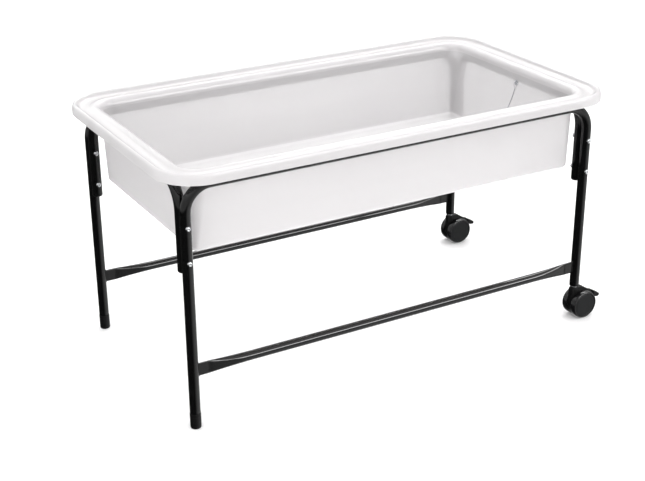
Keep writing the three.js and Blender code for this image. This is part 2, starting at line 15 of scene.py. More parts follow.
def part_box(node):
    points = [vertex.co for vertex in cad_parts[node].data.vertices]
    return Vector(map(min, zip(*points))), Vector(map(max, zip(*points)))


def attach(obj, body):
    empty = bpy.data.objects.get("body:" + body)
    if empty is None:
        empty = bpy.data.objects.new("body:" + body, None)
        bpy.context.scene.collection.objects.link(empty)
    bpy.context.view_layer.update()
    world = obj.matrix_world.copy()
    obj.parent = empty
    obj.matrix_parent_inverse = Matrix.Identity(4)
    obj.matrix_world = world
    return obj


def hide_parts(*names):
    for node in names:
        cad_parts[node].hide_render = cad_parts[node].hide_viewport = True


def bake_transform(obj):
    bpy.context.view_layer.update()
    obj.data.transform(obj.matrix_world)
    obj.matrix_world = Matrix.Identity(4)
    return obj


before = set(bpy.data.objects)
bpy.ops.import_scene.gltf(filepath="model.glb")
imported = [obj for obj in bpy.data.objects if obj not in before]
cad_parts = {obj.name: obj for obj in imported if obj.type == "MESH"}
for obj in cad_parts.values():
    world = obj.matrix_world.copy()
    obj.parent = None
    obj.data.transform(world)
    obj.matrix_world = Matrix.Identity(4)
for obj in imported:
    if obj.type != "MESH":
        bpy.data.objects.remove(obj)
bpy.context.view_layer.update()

MM = 0.001
SCENE = bpy.context.scene

# ---- Sizes, read off the frame -------------------------------------------------------

FRONT_LOW, FRONT_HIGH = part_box("front_frame")
REAR_LOW, REAR_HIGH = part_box("rear_frame")
CROSS_LOW, CROSS_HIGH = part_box("left_cross_tube")
TRAY_LOW, TRAY_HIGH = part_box("tray")
OUTLET_LOW, OUTLET_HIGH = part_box("drain_outlet")
PLUG_LOW, PLUG_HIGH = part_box("drain_plug")
RING_LOW, RING_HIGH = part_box("cord_ring")
AXLE_LOW, AXLE_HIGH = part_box("front_caster_axle")
WHEEL_LOW, WHEEL_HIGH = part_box("front_caster_outer_tyre")

MID_X = (FRONT_LOW.x + FRONT_HIGH.x) / 2
TUBE_R = (FRONT_HIGH.y - FRONT_LOW.y) / 2 / MM
LEG_X = (FRONT_HIGH.x - FRONT_LOW.x) / 2 / MM - TUBE_R
LEG_Y = REAR_HIGH.y / MM - TUBE_R
RAIL_Z = FRONT_HIGH.z / MM - TUBE_R
FOOT_LEG_Z = FRONT_LOW.z / MM
CROSS_Y = CROSS_HIGH.y / MM - TUBE_R
CROSS_LEG_Z = CROSS_LOW.z / MM
FLOOR_Z = TRAY_LOW.z / MM
LIP_Z = TRAY_HIGH.z / MM
RIM_OUT = TRAY_HIGH.y / MM - LEG_Y
DRAIN_X = ((OUTLET_LOW.x + OUTLET_HIGH.x) / 2 - MID_X) / MM
DRAIN_END_Z = OUTLET_LOW.z / MM
PLUG_TOP_Z = PLUG_HIGH.z / MM
WHEEL_R = (WHEEL_HIGH.z - WHEEL_LOW.z) / 2 / MM
TRAIL = ((AXLE_LOW.x + AXLE_HIGH.x) / 2 - MID_X) / MM - LEG_X
RING_CENTRE = (RING_LOW + RING_HIGH) / 2

TUBE_WALL = 1.2
BEND_R = 62.5
CASTER_LEG_Z = 94.5
CAP_PLUG_R = 10.4
STRETCHER_R = 11.0
STRETCHER_Z = 146.0
BOLT_Z = {"lower": 413.5, "upper": 495.5}
BOLT_R = 3.0
WALL = 3.0
GAP = 0.3

DEPTHS = (("front", -1), ("rear", 1))
ENDS = (("left", -1), ("right", 1))

# ---- Mesh helpers --------------------------------------------------------------------


def row(point):
    """A point in the row frame, in metres, from millimetres round the middle of the legs."""
    x, y, z = point
    return Vector((x * MM + MID_X, y * MM, z * MM))


def add_piece(name, parts, material, body, slot, nodes=(), sharp=32, bands=()):
    """One object from closed shells, each a pair of vertices and faces, riding on a body.
    bands are heights and the materials of the faces that lie over them, from low to high."""
    shells = bmesh.new()
    for verts, faces in parts:
        made = [shells.verts.new(row(v)) for v in verts]
        for face in faces:
            shells.faces.new([made[i] for i in face])
    bmesh.ops.remove_doubles(shells, verts=shells.verts, dist=1e-6)
    bmesh.ops.recalc_face_normals(shells, faces=shells.faces)
    mesh = bpy.data.meshes.new(name)
    shells.to_mesh(mesh)
    shells.free()
    mesh.shade_smooth()
    mesh.set_sharp_from_angle(angle=math.radians(sharp))
    mesh.materials.append(material)
    for i, (height, upper) in enumerate(bands, 1):
        mesh.materials.append(upper)
        for face in mesh.polygons:
            if face.center.z > height * MM:
                face.material_index = i
    piece = bpy.data.objects.new(name, mesh)
    SCENE.collection.objects.link(piece)
    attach(piece, body)
    if nodes:
        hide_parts(*nodes)
    return piece


def skin(rings, closed=False):
    """Quads through rings of equal length. The ends are capped, or joined if closed."""
    count = len(rings[0])
    verts = [point for ring in rings for point in ring]
    faces = []
    last = len(rings) - 1
    steps = [(i, i + 1) for i in range(last)]
    if closed:
        steps.append((last, 0))
    for a, b in steps:
        for j in range(count):
            k = (j + 1) % count
            faces.append((a * count + j, a * count + k, b * count + k, b * count + j))
    if not closed:
        faces.append(tuple(reversed(range(count))))
        faces.append(tuple(last * count + j for j in range(count)))
    return verts, faces


def circle(radius, sides):
    turn = 2 * math.pi / sides
    return [(radius * math.cos(i * turn), radius * math.sin(i * turn)) for i in range(sides)]


def hexagon(flat_r, sides):
    """As many points as a circle has, but on a hexagon with that distance to its flats."""
    points = []
    for i in range(sides):
        turn = 2 * math.pi * i / sides
        reach = flat_r / math.cos(turn % (math.pi / 3) - math.pi / 6)
        points.append((reach * math.cos(turn), reach * math.sin(turn)))
    return points


def on_axis(outline, height, centre, axis):
    """A ring at one height along an axis through the centre."""
    cx, cy, cz = centre
    if axis == "z":
        return [(cx + a, cy + b, cz + height) for a, b in outline]
    if axis == "y":
        return [(cx + a, cy + height, cz + b) for a, b in outline]
    return [(cx + height, cy + a, cz + b) for a, b in outline]


def rounded(points, steps=4):
    """A profile with its corners rounded. A point is (a, b) or (a, b, reach of the round), and
    a round takes up at most nearly half of either side."""
    line = []
    most = 0.48
    for i, point in enumerate(points):
        reach = point[2] if len(point) > 2 else 0
        here = Vector(point[:2])
        if reach == 0 or i in (0, len(points) - 1):
            line.append(tuple(here))
            continue
        before = Vector(points[i - 1][:2]) - here
        after = Vector(points[i + 1][:2]) - here
        start = here + before.normalized() * min(reach, before.length * most)
        end = here + after.normalized() * min(reach, after.length * most)
        for k in range(steps + 1):
            t = k / steps
            line.append(tuple(start * (1 - t) ** 2 + here * 2 * t * (1 - t) + end * t * t))
    return line


def rounded_loop(points, steps=4):
    """The same for a closed outline."""
    again = [points[-1], *points, points[0]]
    line = rounded(again, steps)
    return line[1:-1]


def smooth_line(points, steps):
    """A Catmull-Rom line through the points."""
    ends = [points[0], *points, points[-1]]
    line = []
    for i in range(1, len(ends) - 2):
        p0, p1, p2, p3 = (Vector(ends[i + k]) for k in (-1, 0, 1, 2))
        for k in range(steps):
            t = k / steps
            bend = 2 * p1 + (p2 - p0) * t
            bend += (2 * p0 - 5 * p1 + 4 * p2 - p3) * t**2
            bend += (3 * p1 - p0 - 3 * p2 + p3) * t**3
            line.append(tuple(bend / 2))
    line.append(tuple(points[-1]))
    return line


def lathe(profile, centre, axis="z", sides=64, closed=False):
    """A turned shell. The profile is (radius, height) pairs, and starts and ends on the axis
    unless it is closed."""
    return skin([on_axis(circle(r, sides), h, centre, axis) for r, h in profile], closed)


def inset(outline, by):
    """A closed outline moved inwards along its corners' normals."""
    count = len(outline)
    area = sum(
        outline[i][0] * outline[(i + 1) % count][1] - outline[(i + 1) % count][0] * outline[i][1]
        for i in range(count)
    )
    turn = 1 if area > 0 else -1
    moved = []
    for i in range(count):
        along = Vector(outline[(i + 1) % count]) - Vector(outline[i - 1])
        normal = Vector((-along.y, along.x)).normalized() * turn
        moved.append(tuple(Vector(outline[i]) + normal * by))
    return moved


def plate(outline, low, high, edge, centre):
    """A plate drawn in X and Z, between two heights in Y, with rounded edges."""
    rings = []
    for end, face in ((low, 1), (high, -1)):
        side = []
        for degrees in (0, 30, 60, 90):
            turn = math.radians(degrees)
            y = end + face * edge * (1 - math.sin(turn))
            side.append(on_axis(inset(outline, edge * (1 - math.cos(turn))), y, centre, "y"))
        rings.extend(reversed(side) if face > 0 else side)
    return skin(rings)


def wire(points, radius, sides):
    """A round wire along a line of points."""
    line = [Vector(p) for p in points]
    rings = []
    side = (line[1] - line[0]).normalized().orthogonal()
    for i, here in enumerate(line):
        after = line[min(i + 1, len(line) - 1)]
        before = line[max(i - 1, 0)]
        along = (after - before).normalized()
        side = (side - along * side.dot(along)).normalized()
        other = along.cross(side)
        rings.append([tuple(here + side * a + other * b) for a, b in circle(radius, sides)])
    return skin(rings)


# ---- Materials -----------------------------------------------------------------------


def new_material(name, color, roughness, **sockets):
    """A Principled material. The sockets are given by name with underscores for spaces."""
    material = bpy.data.materials.new(name)
    material.use_nodes = True
    shader = material.node_tree.nodes["Principled BSDF"]
    shader.inputs["Base Color"].default_value = (*color, 1)
    shader.inputs["Roughness"].default_value = roughness
    for socket, value in sockets.items():
        shader.inputs[socket.replace("_", " ")].default_value = value
    return material


def add_noise(material, scale, detail=3.0, stretch=(1, 1, 1)):
    """A noise pattern in the row frame, with its scale in features per metre."""
    tree = material.node_tree
    place = tree.nodes.new("ShaderNodeTexCoord")
    mapping = tree.nodes.new("ShaderNodeMapping")
    mapping.inputs["Scale"].default_value = stretch
    pattern = tree.nodes.new("ShaderNodeTexNoise")
    pattern.inputs["Scale"].default_value = scale
    pattern.inputs["Detail"].default_value = detail
    tree.links.new(place.outputs["Object"], mapping.inputs["Vector"])
    tree.links.new(mapping.outputs["Vector"], pattern.inputs["Vector"])
    return pattern.outputs["Fac"]


def spread(tree, value, results, limits=(0, 1), curve="LINEAR"):
    """A value carried from one range to another, evenly or along another curve."""
    node = tree.nodes.new("ShaderNodeMapRange")
    node.interpolation_type = curve
    node.inputs["From Min"].default_value, node.inputs["From Max"].default_value = limits
    node.inputs["To Min"].default_value, node.inputs["To Max"].default_value = results
    tree.links.new(value, node.inputs["Value"])
    return node.outputs["Result"]


def color_ramp(tree, value, *stops):
    """A value turned into a colour between two stops, each a place and a colour."""
    ramp = tree.nodes.new("ShaderNodeValToRGB")
    for element, (place, color) in zip(ramp.color_ramp.elements, stops):
        element.position = place
        element.color = (*color, 1)
    tree.links.new(value, ramp.inputs["Fac"])
    return ramp.outputs["Color"]


def vary_roughness(material, pattern, low, high):
    tree = material.node_tree
    shader = tree.nodes["Principled BSDF"]
    tree.links.new(spread(tree, pattern, (low, high)), shader.inputs["Roughness"])


def vary_color(material, pattern, dark, light):
    tree = material.node_tree
    shader = tree.nodes["Principled BSDF"]
    mottled = color_ramp(tree, pattern, (0.2, dark), (0.8, light))
    tree.links.new(mottled, shader.inputs["Base Color"])


def add_bump(material, pattern, depth):
    """Relief of the given depth in metres."""
    tree = material.node_tree
    bump = tree.nodes.new("ShaderNodeBump")
    bump.inputs["Strength"].default_value = 1.0
    bump.inputs["Distance"].default_value = depth
    shader = tree.nodes["Principled BSDF"]
    tree.links.new(pattern, bump.inputs["Height"])
    tree.links.new(bump.outputs["Normal"], shader.inputs["Normal"])


def powder_coat():
    """Semi-gloss black with the faint orange peel of baked powder."""
    paint = new_material("black_powder_coat", (0.002, 0.002, 0.002), 0.1, Specular_IOR_Level=0.45)
    vary_color(paint, add_noise(paint, 60), (0.0016, 0.0016, 0.0017), (0.0026, 0.0026, 0.0027))
    vary_roughness(paint, add_noise(paint, 240), 0.07, 0.14)
    add_bump(paint, add_noise(paint, 500, 1), 0.00001)
    return paint


def zinc_plate():
    plating = new_material("bright_zinc", (0.62, 0.63, 0.64), 0.26, Metallic=1.0)
    vary_color(plating, add_noise(plating, 500), (0.55, 0.56, 0.58), (0.69, 0.7, 0.71))
    vary_roughness(plating, add_noise(plating, 900), 0.16, 0.32)
    return plating


def black_plastic():
    plastic = new_material("black_plastic", (0.003, 0.003, 0.003), 0.42, Specular_IOR_Level=0.2)
    vary_color(plastic, add_noise(plastic, 90), (0.0024, 0.0024, 0.0024), (0.0036, 0.0036, 0.0036))
    vary_roughness(plastic, add_noise(plastic, 300), 0.36, 0.5)
    add_bump(plastic, add_noise(plastic, 2600, 2), 0.00001)
    return plastic


def wheel_face():
    plastic = new_material("wheel_face", (0.007, 0.0075, 0.008), 0.4, Specular_IOR_Level=0.16)
    vary_color(plastic, add_noise(plastic, 70), (0.006, 0.0065, 0.007), (0.008, 0.0085, 0.009))
    vary_roughness(plastic, add_noise(plastic, 260), 0.35, 0.46)
    add_bump(plastic, add_noise(plastic, 2200, 2), 0.00001)
    return plastic


def wheel_tread():
    plastic = new_material("wheel_tread", (0.004, 0.004, 0.0044), 0.14, Specular_IOR_Level=0.5)
    vary_color(plastic, add_noise(plastic, 110), (0.0034, 0.0034, 0.0038), (0.0048, 0.0048, 0.0052))
    vary_roughness(plastic, add_noise(plastic, 180), 0.11, 0.18)
    add_bump(plastic, add_noise(plastic, 700, 2), 0.00001)
    return plastic


def milky_plastic(name, alpha, white=0.62):
    """Translucent white sheet: light spreads through it from its other side, and what lies
    close behind it shows through as a grey shade."""
    tint = (white, white - 0.012, white - 0.006)
    plastic = new_material(
        name, tint, 0.24, Alpha=alpha, Specular_IOR_Level=0.4,
        Subsurface_Weight=1.0, Subsurface_Radius=(1, 1, 1), Subsurface_Scale=0.008,
    )
    streaks = add_noise(plastic, 5, 2, (0.5, 0.5, 3))
    dark = (white - 0.01, white - 0.023, white - 0.017)
    light = (white + 0.015, white + 0.002, white + 0.008)
    vary_color(plastic, streaks, dark, light)
    vary_roughness(plastic, add_noise(plastic, 4, 0), 0.18, 0.28)
    add_bump(plastic, add_noise(plastic, 6, 0), 0.0004)
    return plastic


def soft_rubber():
    rubber = new_material("grey_rubber", (0.15, 0.155, 0.16), 0.6)
    vary_color(rubber, add_noise(rubber, 220), (0.135, 0.14, 0.145), (0.17, 0.175, 0.18))
    vary_roughness(rubber, add_noise(rubber, 400), 0.52, 0.7)
    add_bump(rubber, add_noise(rubber, 1800, 2), 0.00004)
    return rubber


def braided_cord():
    cord = new_material("grey_braid", (0.2, 0.21, 0.22), 0.7)
    vary_color(cord, add_noise(cord, 900), (0.15, 0.16, 0.17), (0.27, 0.28, 0.29))
    vary_roughness(cord, add_noise(cord, 1500), 0.6, 0.82)
    return cord


def pale_floor():
    floor = new_material("pale_floor", (0.98, 0.98, 0.98), 0.8)
    vary_color(floor, add_noise(floor, 2), (0.975, 0.975, 0.975), (0.985, 0.985, 0.985))
    return floor


PAINT = powder_coat()
ZINC = zinc_plate()
BLACK = black_plastic()
WHEEL_FACE = wheel_face()
TREAD = wheel_tread()
MILKY = milky_plastic("milky_sheet", 0.7)
# A lighter copy of the sheet for the tray's floor: painted light, so that the floor the walls shade
# looks brightly lit. It is not a paler plastic.
MILKY_PAINTED_LIGHT_FLOOR = milky_plastic("milky_floor_painted_light", 0.7, 0.73)
MILKY_RIM = milky_plastic("milky_rim", 0.82)
MILKY_BLOCK = milky_plastic("milky_fitting", 0.9)
RUBBER = soft_rubber()
BRAID = braided_cord()

# ---- Camera --------------------------------------------------------------------------

LENS = 73.0
CAMERA_PLACE = (-1558, -2654, 1592)
CAMERA_TURNS = (29.59, 23.81, -0.39)


def make_camera():
    """The photograph's viewing angle, as near as a camera without a large shift gives it."""
    camera = bpy.data.cameras.new("camera")
    camera.sensor_width = 36
    camera.lens = LENS
    camera.clip_start = 0.1
    camera.clip_end = 100
    seat = bpy.data.objects.new("camera", camera)
    SCENE.collection.objects.link(seat)
    yaw, pitch, roll = (math.radians(angle) for angle in CAMERA_TURNS)
    aim = Euler((math.pi / 2 - pitch, 0, -yaw)).to_matrix() @ Matrix.Rotation(roll, 3, "Z")
    seat.matrix_world = Matrix.Translation(row(CAMERA_PLACE)) @ aim.to_4x4()
    SCENE.camera = seat


make_camera()

# ---- Plug cord, ring and staple ------------------------------------------------------

CORD_D = 2.0
CORD_SIDES = 20
RING_R = 5.5
STAPLE_HALF = 5
RING = ((RING_CENTRE.x - MID_X) / MM, RING_CENTRE.y / MM, RING_CENTRE.z / MM)
CORD_ROUTE = [
    (RING[0], -20, 564), (523, -19.3, 554.9), (520.8, -18.5, 545.9), (518.3, -17.6, 537.1),
    (515.6, -16.6, 528.3), (512.7, -15.5, 519.7), (509.5, -14.4, 511.2), (506.1, -13.1, 502.9),
    (502.4, -11.8, 494.6), (498.5, -10.4, 486.5), (494.4, -8.9, 478.5), (490, -7.3, 470.6),
    (485.3, -5.6, 462.9), (480.4, -3.8, 455.1), (475, -1.9, 447.8), (472, -0.8, 444.3),
    (DRAIN_X, 0, PLUG_TOP_Z + CORD_D / 2),
]


def make_cord():
    """Two strands laid round each other, so that the cord's surface winds along it."""
    line = smooth_line(CORD_ROUTE, 12)
    rings = []
    side = Vector((0, 1, 0))
    run = 0.0
    lay = 2.4 * CORD_D
    for i, point in enumerate(line):
        here = Vector(point)
        before = Vector(line[max(i - 1, 0)])
        after = Vector(line[min(i + 1, len(line) - 1)])
        run += (here - before).length
        along = (after - before).normalized()
        side = (side - along * side.dot(along)).normalized()
        other = along.cross(side)
        ring = []
        for k in range(CORD_SIDES):
            turn = 2 * math.pi * k / CORD_SIDES
            lobes = math.cos(2 * turn - 2 * math.pi * run / lay)
            reach = CORD_D / 2 * (0.93 + 0.07 * lobes)
            ring.append(tuple(here + (side * math.cos(turn) + other * math.sin(turn)) * reach))
        rings.append(ring)
    cord = add_piece("braided_cord", [skin(rings)], BRAID, "tray", "grey_cord", ["plug_cord"], 60)
    cord.parent = None
    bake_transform(cord)


def make_cord_fittings():
    """A split ring of wire wound nearly twice round, in a staple riveted to the end wall."""
    steps, winds = 96, 1.9
    coil = []
    for i in range(steps + 1):
        turn = 2 * math.pi * winds * i / steps
        across = 0.42 * math.cos(math.pi * i / steps)
        y, z = RING_R * math.cos(turn), RING_R * math.sin(turn)
        coil.append((RING[0] + across, RING[1] + y, RING[2] + z))
    add_piece("wound_split_ring", [wire(coil, 0.48, 12)], ZINC, "tray", "zinc", ["cord_ring"], 50)
    low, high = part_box("cord_staple")
    eye_z = (low.z + high.z) / 2 / MM
    wall_x = (low.x - MID_X) / MM + 5.9
    bow = []
    for i in range(33):
        turn = math.pi / 2 + math.pi * i / 32
        x, z = STAPLE_HALF * math.cos(turn), STAPLE_HALF * math.sin(turn)
        bow.append((wall_x + x, RING[1], eye_z + z))
    foot_x = wall_x + 1.4
    upper, lower = ((foot_x, RING[1], eye_z + z) for z in (STAPLE_HALF, -STAPLE_HALF))
    rivet = rounded([
        (0, -0.4), (7, -0.4, 0.5), (7, 1.2, 0.2), (1.9, 1.2), (1.9, 7.2, 0.6), (0, 7.2),
    ])
    parts = [
        wire([upper, *bow, lower], 0.9, 14),
        lathe(rivet, (wall_x, RING[1], eye_z), "x", 40),
    ]
    for side in (-1, 1):
        head = rounded([(0, -1.2), (1.5, -1.2, 0.8), (1.8, 0, 0.2), (0, 0)])
        parts.append(lathe(head, (wall_x - 0.3, RING[1] + side * 4.2, eye_z), "x", 20))
    add_piece("riveted_staple", parts, ZINC, "tray", "zinc", ["cord_staple"], 40)


make_cord()
make_cord_fittings()

# ---- Stand ---------------------------------------------------------------------------


def hoop_line(half, low_left, low_right):
    """(across, up, direction, how deep in a bend) along a hoop, foot to foot."""
    steps = 16
    line = [(-half, low_left, math.pi / 2, 0)]
    for side in (-1, 1):
        for i in range(steps + 1):
            sweep = math.pi / 2 * i / steps
            angle = math.pi / 2 - sweep if side < 0 else -sweep
            across = side * (half - BEND_R) - BEND_R * math.sin(angle)
            up = RAIL_Z - BEND_R + BEND_R * math.cos(angle)
            line.append((across, up, angle, math.sin(2 * sweep)))
    line.append((half, low_right, -math.pi / 2, 0))
    return line


def hoop_tube(half, low_left, low_right, place):
    """A bent tube with its wall, a little flattened in the bends as bent tube is."""
    line = hoop_line(half, low_left, low_right)
    edge = 0.5
    rings = []

    def ring(across, up, angle, bend, radius):
        points = []
        for a, b in circle(radius, 40):
            a *= 1 - 0.035 * bend
            b *= 1 + 0.02 * bend
            points.append(place(across - a * math.sin(angle), b, up + a * math.cos(angle)))
        return points

    rings.append(ring(*line[0], TUBE_R - edge))
    first, last = list(line[0]), list(line[-1])
    first[1] += edge
    last[1] += edge
    for station in [first, *line[1:-1], last]:
        rings.append(ring(*station, TUBE_R))
    rings.append(ring(*line[-1], TUBE_R - edge))
    for station in reversed(line):
        rings.append(ring(*station, TUBE_R - TUBE_WALL))
    return skin(rings, closed=True)


def make_frames():
    for depth, side in DEPTHS:
        y = side * LEG_Y
        tube = hoop_tube(LEG_X, FOOT_LEG_Z, CASTER_LEG_Z, lambda u, w, z, y=y: (u, y + w, z))
        name = f"{depth}_frame"
        add_piece(f"bent_{name}", [tube], PAINT, "stand", "black_paint", [name])
    for end, side in ENDS:
        x = side * LEG_X
        tube = hoop_tube(CROSS_Y, CROSS_LEG_Z, CROSS_LEG_Z, lambda u, w, z, x=x: (x + w, u, z))
        name = f"{end}_cross_tube"
        add_piece(f"bent_{name}", [tube], PAINT, "stand", "black_paint", [name])


FOLD_AT, FOLD_DEPTH, FOLD_HALF = 37.6, 0.6, 1.2
TAB_END, TUBE_WHOLE = 40, 150
TAB_HALF_HEIGHT = 16.2
TAB_ROUND_T, TAB_FLAT_T = 2.6, 1.9


def pressed_ring(x, reach):
    """The stretcher's section at one distance from the leg: round tube that a press has
    squeezed between two flats, which end in a fold and fade out where the tube is whole."""
    t = min(max((reach - TAB_END) / (TUBE_WHOLE - TAB_END), 0), 1)
    height = TAB_HALF_HEIGHT - (TAB_HALF_HEIGHT - STRETCHER_R) * (1 - (1 - t) ** 1.7)
    swell = math.sin(math.pi / 2 * min(1, t * 1.15)) ** 0.8
    round_t = TAB_ROUND_T + (STRETCHER_R - TAB_ROUND_T) * swell
    flat_t = TAB_FLAT_T + (STRETCHER_R - TAB_FLAT_T) * min(1, t * 1.3) ** 0.85
    flat_t -= max(0, FOLD_DEPTH - abs(reach - FOLD_AT) / 2)
    ring = []
    for k in range(72):
        turn = 2 * math.pi * k / 72
        y = min(max(round_t * math.cos(turn), -flat_t), flat_t)
        ring.append((x, y, STRETCHER_Z + height * math.sin(turn)))
    return ring


def make_stretchers():
    start = TUBE_R + 0.6
    steps = 44
    reaches = [start, 22, 30, FOLD_AT - FOLD_HALF, FOLD_AT, FOLD_AT + FOLD_HALF]
    reaches += [TAB_END + (TUBE_WHOLE - TAB_END) * i / steps for i in range(steps + 1)]
    for depth, side in DEPTHS:
        name, y = f"{depth}_stretcher", side * LEG_Y
        rings = [pressed_ring(reach - LEG_X, reach) for reach in reaches]
        rings += [pressed_ring(LEG_X - reach, reach) for reach in reversed(reaches)]
        placed = [[(x, y + dy, z) for x, dy, z in ring] for ring in rings]
        add_piece(f"pressed_{name}", [skin(placed)], PAINT, "stand", "black_paint", [name], 24)
        for end, way in ENDS:
            add_piece(f"{name}_{end}_weld", [weld_bead(way, y)], PAINT, "stand", "black_paint")


def weld_bead(side, y):
    """The rippled bead that joins a stretcher's tab to its leg."""
    centre = []
    half, thick = 16.6, 2.6
    steps = 120
    for i in range(steps):
        turn = 2 * math.pi * i / steps
        dy = min(max(thick * 1.6 * math.cos(turn), -thick), thick)
        out = math.sqrt(TUBE_R**2 - dy**2)
        centre.append((side * (LEG_X - out - 0.5), y + dy, STRETCHER_Z + half * math.sin(turn)))
    rings = []
    for i, here in enumerate(centre):
        along = (Vector(centre[(i + 1) % steps]) - Vector(centre[i - 1])).normalized()
        across = Vector((1, 0, 0))
        other = along.cross(across).normalized()
        radius = 1.35 + 0.16 * math.sin(2 * math.pi * i / 5)
        ring = [tuple(Vector(here) + across * a + other * b) for a, b in circle(radius, 12)]
        rings.append(ring)
    return skin(rings, closed=True)


def make_foot_tips():
    """A moulded tip with a collar, a mould line and a slightly dished sole."""
    seat, top = FOOT_LEG_Z - GAP, FOOT_LEG_Z + 22
    for depth, side in DEPTHS:
        profile = rounded([
            (0, 0.5), (8.5, 0.5), (9.4, 0, 0.3), (11.6, 0, 1.6), (13, 3.4, 2.2), (13.05, 29.2, 0.4),
            (12.75, 29.8, 0.2), (13.1, 30.4, 0.4), (13.1, seat, 0.6), (CAP_PLUG_R, seat),
            (CAP_PLUG_R, top, 1.2), (0, top),
        ])
        tip = lathe(profile, (-LEG_X, side * LEG_Y, 0), sides=72)
        name = f"{depth}_foot_tip"
        add_piece(f"moulded_{name}", [tip], BLACK, "stand", "black_plastic", [name])


def make_tube_caps():
    profile = rounded([
        (0, -6), (7.5, -6, 2.5), (11.2, -4.4, 2), (12.45, -1.8, 1), (12.45, -GAP, 0.2),
        (CAP_PLUG_R, -GAP), (CAP_PLUG_R, 14, 1), (0, 14),
    ])
    for depth, side in DEPTHS:
        for end, way in ENDS:
            cap = lathe(profile, (way * LEG_X, side * CROSS_Y, CROSS_LEG_Z), sides=64)
            name = f"{depth}_{end}_tube_cap"
            add_piece(f"domed_{name}", [cap], BLACK, "stand", "black_plastic", [name])


def button_bolt(centre):
    """A button-head screw along +Y, with its hex socket and the threads of its free end."""
    sides = 48
    socket_floor, socket_mouth = -1.2, -3.15
    crown_top, crown_r = -3.4, 6.1
    shank, root_r, tip = 46, 2.66, 58.8
    rings = [on_axis(circle(0.01, sides), socket_floor, centre, "y")]
    rings.append(on_axis(hexagon(1.98, sides), socket_floor, centre, "y"))
    rings.append(on_axis(hexagon(2.0, sides), socket_mouth, centre, "y"))
    crown = rounded([
        (2.45, crown_top), (3.7, crown_top, 0.5), (5.6, -2.0, 1.3), (crown_r, -0.5, 0.7),
        (crown_r, 0, 0.15),
    ])
    profile = [*crown, (5.2, 0), (BOLT_R, 0.1), (BOLT_R, shank)]
    for i in range(13):
        profile += [(BOLT_R, shank + 0.2 + i), (root_r, shank + 0.7 + i)]
    profile += [(2.6, 58.2), (2.2, tip), (0.01, tip)]
    rings += [on_axis(circle(r, sides), h, centre, "y") for r, h in profile]
    return skin(rings)


def hex_nut(centre):
    """A nut along +Y whose corners are turned back at both faces."""
    sides = 72
    flat, height = 5, 6
    bore = BOLT_R + 0.05
    rings = []
    for h in (0, 0.25, 0.5, 0.8, height - 0.8, height - 0.5, height - 0.25, height):
        cone = flat * 0.955 + 1.9 * min(h, height - h)
        outline = []
        for x, y in hexagon(flat, sides):
            reach = math.hypot(x, y)
            scale = min(1, cone / reach)
            outline.append((x * scale, y * scale))
        rings.append(on_axis(outline, h, centre, "y"))
    rings.append(on_axis(circle(bore + 0.5, sides), height, centre, "y"))
    rings.append(on_axis(circle(bore, sides), height - 0.5, centre, "y"))
    rings.append(on_axis(circle(bore, sides), 0.5, centre, "y"))
    rings.append(on_axis(circle(bore + 0.5, sides), 0, centre, "y"))
    return skin(rings, closed=True)


def make_fasteners():
    for depth, side in DEPTHS:
        face = -LEG_Y - TUBE_R if side < 0 else CROSS_Y - TUBE_R
        for end, way in ENDS:
            x = way * LEG_X
            for height, z in BOLT_Z.items():
                name = f"{depth}_{end}_{height}"
                bolt = button_bolt((x, face - GAP, z))
                add_piece(f"{name}_button_bolt", [bolt], ZINC, "stand", "zinc", [f"{name}_bolt"])
                nut = hex_nut((x, face + 4 * TUBE_R + 2 * GAP, z))
                add_piece(f"{name}_hex_nut", [nut], ZINC, "stand", "zinc", [f"{name}_nut"], 26)


make_frames()
make_stretchers()
make_foot_tips()
make_tube_caps()
make_fasteners()

# ---- Casters -------------------------------------------------------------------------


def caster_housing(at):
    """Two cheeks that curve over into a hood, a middle web, which leaves the brake's slot open,
    and a round column for the stem."""
    x, y, _ = at
    top = 86.9
    cheek = [
        (-10, 34, 3), (-4, 27, 4), (8, 19.5, 5), (22, 16, 8), (36, 19.5, 5), (46, 29, 5),
        (51, 44, 5), (56, 56, 3), (56, 64, 3), (40, 74.6, 4), (24, 85, 5), (17, top, 2),
        (-6, top, 2.4), (-10, 83, 2),
    ]
    web = [
        (-9, 35, 3), (-4, 28, 4), (8, 20.5, 5), (22, 17, 8), (36, 20.5, 5), (45, 30, 5),
        (50, 44, 4), (52, 50, 1), (36, 50.2, 1), (36, 76, 2), (22, 84.6, 4), (-6, 85.6, 2),
        (-9, 82, 2),
    ]
    loop = [(px + x, pz) for px, pz in rounded_loop(cheek, 5)]
    middle = [(px + x, pz) for px, pz in rounded_loop(web, 4)]
    parts = [plate(middle, -4.7, 4.7, 0.4, (0, y, 0))]
    for side in (-1, 1):
        low, high = sorted((side * 4.5, side * 8.6))
        parts.append(plate(loop, low, high, 1.1, (0, y, 0)))
    column = rounded([
        (0, 62), (9.6, 62, 1), (10.4, 72, 2), (10.4, top, 1.4), (5.9, top, 0.4), (5.9, 84), (0, 84),
    ])
    parts.append(lathe(column, (x, y, 0), sides=56))
    return parts


def level(line, at):
    """The height of a line of points, drawn from left to right, at one place along it."""
    for (x0, z0), (x1, z1) in zip(line, line[1:]):
        if at <= x1:
            return z0 + (z1 - z0) * (at - x0) / (x1 - x0)
    return line[-1][1]


BRAKE_PIVOT = (44, 60)


